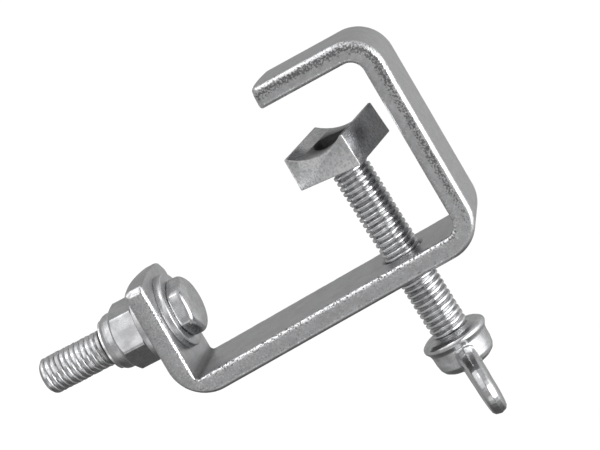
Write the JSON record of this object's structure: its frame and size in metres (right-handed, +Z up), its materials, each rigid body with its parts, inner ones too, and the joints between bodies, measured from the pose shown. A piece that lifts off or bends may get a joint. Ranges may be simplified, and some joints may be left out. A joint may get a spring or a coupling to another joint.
{
  "type": "stage hook clamp",
  "caption": "Flat-bar hook clamp with a wing screw, a swivelling saddle pad and a hanging bolt with a locking nut, for hanging a light from a tube.",
  "frame": {"origin": "axis of the seated tube, where the clamp screw's axis crosses it, at the middle of the bar's width", "axes": "+Y along the tube, +Z up from the hanging bolt to the back of the hook, -X from the wing screw's head towards the hook's lip"},
  "size_m": [0.0976, 0.045, 0.1187],
  "materials": {
    "bar_steel": "zinc-plated flat bar, satin, with bright rough edges",
    "screw_steel": "zinc-plated, glossy on the cast head",
    "ring_steel": "dark spring steel",
    "saddle_steel": "zinc-plated, satin",
    "bolt_steel": "zinc-plated, glossy",
    "washer_steel": "zinc-plated, satin",
    "nut_steel": "zinc-plated, glossy",
    "nylon": "natural nylon"
  },
  "bodies": {
    "hook": {"hook_frame": "bar_steel"},
    "ring": {"retaining_ring": "ring_steel"},
    "screw": {"clamp_screw": "screw_steel"},
    "saddle": {"saddle": "saddle_steel"},
    "bolt": {"hanging_bolt": "bolt_steel", "head_washer": "washer_steel", "nut_washer": "washer_steel", "lock_nut": "nut_steel", "nylon_insert": "nylon"}
  },
  "joints": [
    {"name": "clamp_travel", "type": "slide", "parent": "hook", "child": "ring", "axis": [-1, 0, 0], "range_m": [-0.0245, 0.011]},
    {"name": "screw_turn", "type": "hinge", "parent": "ring", "child": "screw", "pos_m": [0, 0, 0], "axis": [-1, 0, 0], "range_deg": [-5881, 2641]},
    {"name": "saddle_swivel", "type": "hinge", "parent": "ring", "child": "saddle", "pos_m": [0, 0, 0], "axis": [-1, 0, 0], "continuous": true},
    {"name": "bolt_turn", "type": "hinge", "parent": "hook", "child": "bolt", "pos_m": [0.01575, 0, -0.06324], "axis": [-0.0454, 0, -0.999], "continuous": true}
  ],
  "couplings": [
    {"joint": "screw_turn", "follows": "clamp_travel", "rad_per_m": 4188.8}
  ]
}
